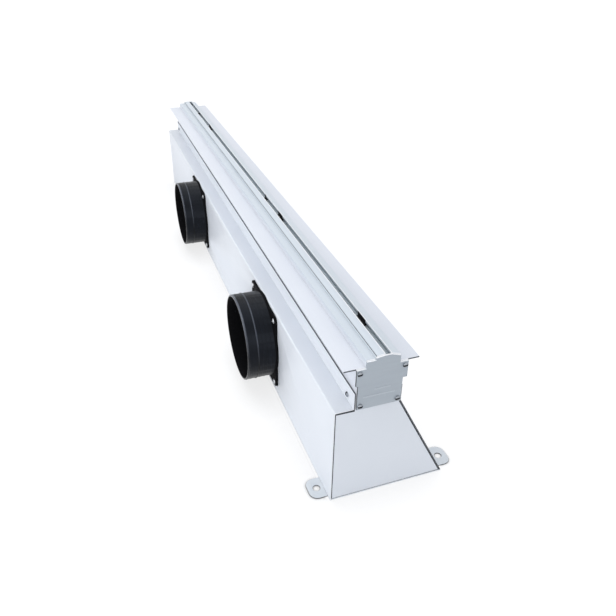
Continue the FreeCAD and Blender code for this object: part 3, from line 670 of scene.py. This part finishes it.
# Painted highlights: lighter copies of the plastic for the rim and stop beads, darkened below.
bead_highlight_plastic = black_plastic("spigot_bead_plastic", (0.120, 0.132, 0.158), roughness=0.25,
                             grain=0.000004, specular=0.25)
lit_from_above(bead_highlight_plastic, low=0.068, high=0.112, share=0.12)
ring_highlight_plastic = black_plastic("spigot_ring_plastic", (0.085, 0.095, 0.115), roughness=0.30,
                             grain=0.000004, specular=0.17)
lit_from_above(ring_highlight_plastic, low=0.055, high=0.095, share=0.04)
# Painted shade: a darker, duller copy of the plastic for the inside of the tube, also used on the
# flange.
bore_shade_plastic = black_plastic("spigot_bore_plastic", (0.003, 0.003, 0.004), roughness=0.75,
                             grain=0.00001, specular=0.08)


def ring_tree():
    """Geometry Nodes: low rounded rings about a tube, one at each given point."""
    tree, given = shape_tree("tube_rings", "Rings", Places="Geometry", Radius="Float",
                             Bead="Float", Plastic="Material")
    path = step(tree, "GeometryNodeCurvePrimitiveCircle",
                {"Resolution": 128, "Radius": given["Radius"]})
    bead = step(tree, "GeometryNodeCurvePrimitiveCircle",
                {"Resolution": 10, "Radius": given["Bead"]})
    ring = step(tree, "GeometryNodeCurveToMesh",
                {"Curve": path.outputs["Curve"], "Profile Curve": bead.outputs["Curve"]})
    turned = step(tree, "GeometryNodeTransform",
                  {"Geometry": ring.outputs["Mesh"], "Rotation": (0, math.pi / 2, 0)})
    smooth = step(tree, "GeometryNodeSetShadeSmooth", {"Geometry": turned.outputs["Geometry"]})
    spots = step(tree, "GeometryNodeMeshToPoints", {"Mesh": given["Places"]})
    spread = step(tree, "GeometryNodeInstanceOnPoints",
                  {"Points": spots.outputs["Points"], "Instance": smooth.outputs["Geometry"]})
    return made_real(tree, spread.outputs["Instances"], given["Plastic"], "Rings")


def points_object(name, places):
    """An object with a loose point at each place."""
    mesh = bpy.data.meshes.new(name)
    mesh.from_pydata(places, [], [])
    return placed(name, mesh)


spigot_rings = ring_tree()
spigot_level = 0.0643
spigot_stations = (("near", -0.2635), ("far", 0.1575))
bore_radius, tube_radius, flange_front = 0.0547, 0.05555, -0.0725
for end, station in spigot_stations:
    spigot = eased("spigot_moulding_" + end, "duct_spigot_" + end, 0.0005, spigot_plastic)
    axis = Vector((0, station, spigot_level))
    # Painted shade on the bore's inner faces and on the flange side.
    second_coat(spigot, bore_shade_plastic, lambda at, out: at.x > flange_front or (
        (at - axis).yz.length < bore_radius and (at - axis).yz.dot(out.yz) < -0.02))
    for kind, radius, bead, reach, plastic in (
            ("rim_bead", bore_radius, 0.0014, (-0.1040,), bead_highlight_plastic),
            ("stop_bead", tube_radius, 0.0009, (-0.0915,), ring_highlight_plastic),
            ("low_rings", tube_radius, 0.00035, (-0.0985, -0.0860, -0.0805, -0.0750),
             spigot_plastic)):
        draft = points_object("spigot_%s_%s" % (kind, end),
                              [(x, station, spigot_level) for x in reach])
        rings = draft.modifiers.new("rings", "NODES")
        rings.node_group = spigot_rings
        give(rings, spigot_rings, {"Radius": radius, "Bead": bead, "Plastic": plastic})
        ring_piece = finished(draft, draft.name, plastic, "housing")


# ---------------------------------------------------------------- screws and rivets
# Cap and neck screws are bright zinc pan heads with a wide slot, which shows as a dark dash of
# painted shade. The spigots' rivets are aluminium blind rivets with a dome and the mandrel's end
# in the middle.

def plain_metal(name, colour, roughness):
    """Small bright metal with fine handling marks, and painted shade in a recess."""
    metal, tree, shader = new_material(name)
    shader.inputs["Metallic"].default_value = 1.0
    marks = noise(tree, own_place(tree), scale=700.0, detail=3.0)
    tone = uneven(tree, shader, marks, colour, dark=(0.8, 0.8, 0.82), low=0.3, high=0.65,
                  roughness=roughness, less=0.06, more=0.08)
    recess = step(tree, "ShaderNodeAttribute", {}, attribute_name="recess")
    # Painted shade: faces marked as recess blend to near black.
    recess_shaded = blended(tree, recess.outputs["Fac"], tone, (0.012, 0.013, 0.018, 1))
    tree.links.new(recess_shaded, shader.inputs["Base Color"])
    return metal


def turned_mesh(name, profile):
    """A closed turned shape about Z from (radius, height) pairs, from the axis to the axis."""
    sides = 24
    work = bmesh.new()
    rings = []
    for radius, height in profile:
        angles = [2 * math.pi * i / sides for i in range(sides)] if radius else [0]
        rings.append([work.verts.new((radius * math.cos(turn), radius * math.sin(turn), height))
                      for turn in angles])
    for lower, upper in zip(rings, rings[1:]):
        for i in range(sides):
            j = (i + 1) % sides
            if len(lower) == 1:
                work.faces.new((lower[0], upper[j], upper[i]))
            elif len(upper) == 1:
                work.faces.new((lower[i], lower[j], upper[0]))
            else:
                work.faces.new((lower[i], lower[j], upper[j], upper[i]))
    bmesh.ops.recalc_face_normals(work, faces=work.faces)
    mesh = bpy.data.meshes.new(name)
    work.to_mesh(mesh)
    work.free()
    for face in mesh.polygons:
        face.use_smooth = True
    return mesh


def scatter_tree():
    """Geometry Nodes: a fastener at each point, all turned one way and each spun a little."""
    tree, given = shape_tree("set_fasteners", "Fasteners", Places="Geometry", Fastener="Object",
                             Turn="Vector", Spin="Float", Seed="Int", Metal="Material")
    spots = step(tree, "GeometryNodeMeshToPoints", {"Mesh": given["Places"]})
    one = step(tree, "GeometryNodeObjectInfo", {"Object": given["Fastener"]})
    lean = step(tree, "FunctionNodeEulerToRotation", {"Euler": given["Turn"]})
    spread = step(tree, "GeometryNodeInstanceOnPoints",
                  {"Points": spots.outputs["Points"], "Instance": one.outputs["Geometry"],
                   "Rotation": lean.outputs["Rotation"]})
    driven = step(tree, "FunctionNodeRandomValue", {3: given["Spin"], "Seed": given["Seed"]},
                  data_type="FLOAT")
    about = step(tree, "ShaderNodeCombineXYZ", {"Z": driven.outputs[1]})
    spun = step(tree, "GeometryNodeRotateInstances",
                {"Instances": spread.outputs["Instances"], "Rotation": about.outputs["Vector"]})
    return made_real(tree, spun.outputs["Instances"], given["Metal"], "Fasteners")


def pan_head_screw(shank):
    """A pan head screw along Z with its head's seat at z = 0, with a slot along X."""
    body = placed("pan_head_screw", turned_mesh("pan_head", [
        (0, -shank), (0.0010, -shank), (0.00145, -shank + 0.0008), (0.00145, 0), (0.0027, 0),
        (0.0028, 0.0002), (0.0028, 0.0008), (0.0025, 0.0013), (0.0019, 0.0016), (0.0010, 0.0018),
        (0, 0.0018)]))
    slot = bmesh.new()
    bmesh.ops.create_cube(slot, size=1.0)
    bmesh.ops.scale(slot, vec=(0.0070, 0.0017, 0.0026), verts=slot.verts)
    bmesh.ops.translate(slot, vec=(0, 0, 0.0021), verts=slot.verts)
    slot_mesh = bpy.data.meshes.new("head_slot")
    slot.to_mesh(slot_mesh)
    slot.free()
    cutter = placed("head_slot", slot_mesh)
    recess = body.modifiers.new("recess", "BOOLEAN")
    recess.operation = "DIFFERENCE"
    recess.solver = "EXACT"
    recess.object = cutter
    graph = bpy.context.evaluated_depsgraph_get()
    cut = bpy.data.meshes.new_from_object(body.evaluated_get(graph))
    bpy.data.objects.remove(body)
    bpy.data.objects.remove(cutter)
    cut.set_sharp_from_angle(angle=math.radians(35))
    # The faces inside the slot are marked for painted shade.
    inside = cut.attributes.new("recess", "FLOAT", "FACE")
    for face in cut.polygons:
        if abs(face.center.y) < 0.00086 and face.center.z > 0.0007:
            inside.data[face.index].value = 1.0
    return cut


def set_fasteners(name, node, fastener_mesh, places, turn, spin, seed, metal):
    """Puts the fastener at each place, out of the material by its turn, for one CAD node."""
    model = placed(name + "_model", fastener_mesh)
    draft = points_object(name, places)
    setting = draft.modifiers.new("setting", "NODES")
    setting.node_group = fastener_setting
    give(setting, fastener_setting, {"Fastener": model, "Turn": turn, "Spin": spin, "Seed": seed,
                                     "Metal": metal})
    piece = finished(draft, name, metal, "housing", node)
    bpy.data.objects.remove(model)


fastener_setting = scatter_tree()
zinc = plain_metal("bright_zinc", (0.36, 0.385, 0.42), roughness=0.50)
long_screw = pan_head_screw(shank=0.013)
short_screw = pan_head_screw(shank=0.0055)
for end, side in ends:
    set_fasteners("cap_pan_screws_" + end, "cap_screws_" + end, long_screw,
                  [(x, cap_face * side, z) for x, z in ((-0.0433, 0.1646), (0.0039, 0.1646),
                                                        (-0.0409, 0.1251), (-0.0008, 0.1251))],
                  turn=(-side * math.pi / 2, 0, 0), spin=0.12, seed=3, metal=zinc)
neck_station, neck_level = 0.483, 0.127
for wall, x, side in (("straight_side", -0.0462, -1), ("sloping_side", 0.0045, 1)):
    set_fasteners("neck_pan_screws_" + wall, "neck_screws_" + wall, short_screw,
                  [(x, y, neck_level) for y in (-neck_station, neck_station)],
                  turn=(0, side * math.pi / 2, 0), spin=0.12, seed=5, metal=zinc)

rivet_metal = plain_metal("rivet_aluminium", (0.62, 0.64, 0.67), roughness=0.30)
blind_rivet = turned_mesh("blind_rivet", [
    (0, -0.0070), (0.0019, -0.0070), (0.0020, -0.0066), (0.0020, 0), (0.0034, 0), (0.0035, 0.0002),
    (0.0031, 0.0008), (0.0022, 0.0012), (0.0012, 0.0013), (0.0011, 0.0006), (0.0009, 0.0006),
    (0.0008, 0.0009), (0, 0.0010)])
rivet_seat, ear_offset = -0.0697, 0.0461
for end, station in spigot_stations:
    set_fasteners("spigot_blind_rivets_" + end, "spigot_rivets_" + end, blind_rivet,
                  [(rivet_seat, station + y, spigot_level + z)
                   for y in (-ear_offset, ear_offset) for z in (-ear_offset, ear_offset)],
                  turn=(0, -math.pi / 2, 0), spin=0.5, seed=7, metal=rivet_metal)
